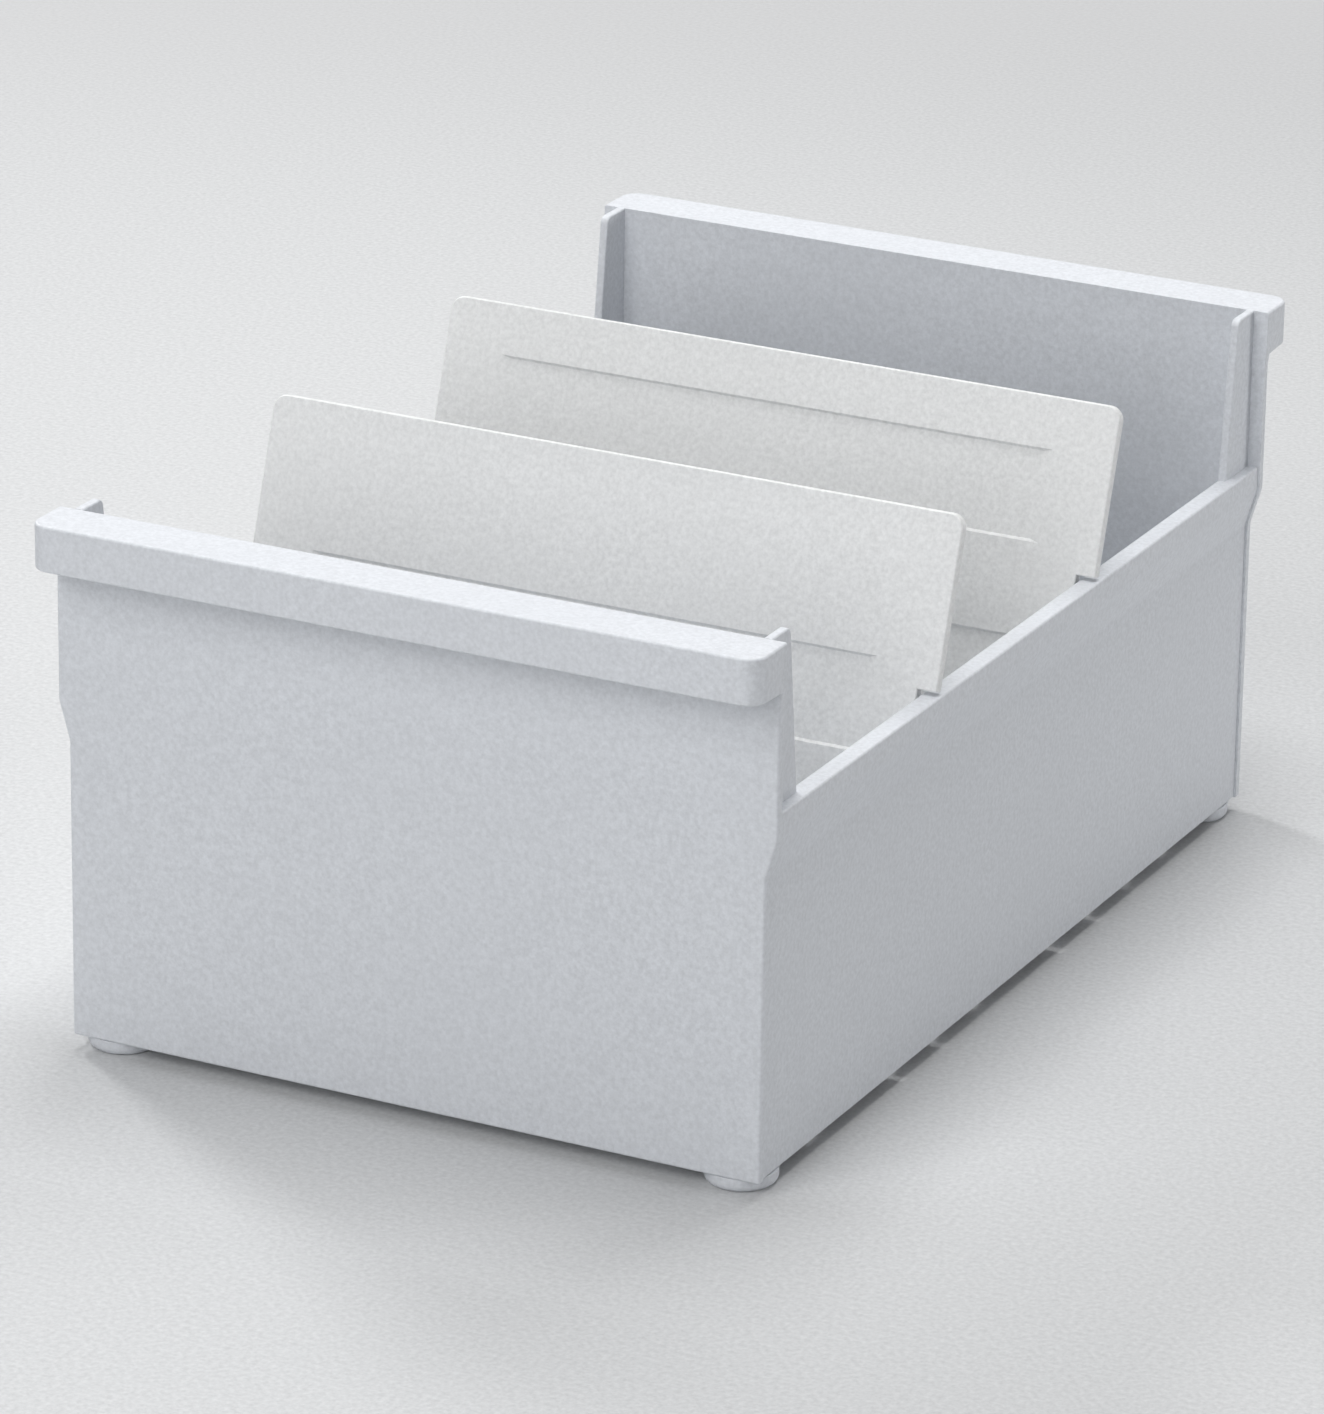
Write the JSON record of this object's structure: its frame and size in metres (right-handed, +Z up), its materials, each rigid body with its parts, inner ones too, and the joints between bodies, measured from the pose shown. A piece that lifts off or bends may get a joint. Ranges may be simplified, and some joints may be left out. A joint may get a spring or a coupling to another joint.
{
  "type": "index card tray",
  "caption": "Open plastic index card tray: long trough with flared rims and slotted floor, tall end panels with hollow grip lips, tilting support plates and round feet.",
  "frame": {"origin": "on the table under the middle of the tray, at the bottom centre of its box", "axes": "+X across the tray to its right, +Y from the front panel to the rear panel, +Z up"},
  "size_m": [0.233, 0.376, 0.1675],
  "materials": {
    "tray_plastic": "satin, light grey",
    "plate_plastic": "satin, pale grey"
  },
  "bodies": {
    "tray": {"trough": "tray_plastic", "front_panel": "tray_plastic", "rear_panel": "tray_plastic", "front_left_foot": "tray_plastic", "front_right_foot": "tray_plastic", "rear_left_foot": "tray_plastic", "rear_right_foot": "tray_plastic"},
    "front_plate": {"front_support_plate": "plate_plastic"},
    "rear_plate": {"rear_support_plate": "plate_plastic"}
  },
  "joints": [
    {"name": "front_plate_tilt", "type": "hinge", "parent": "tray", "child": "front_plate", "pos_m": [0, -0.1, 0.006], "axis": [1, 0, 0], "range_deg": [0, 36]},
    {"name": "rear_plate_tilt", "type": "hinge", "parent": "tray", "child": "rear_plate", "pos_m": [0, 0.012, 0.006], "axis": [1, 0, 0], "range_deg": [0, 36]}
  ]
}
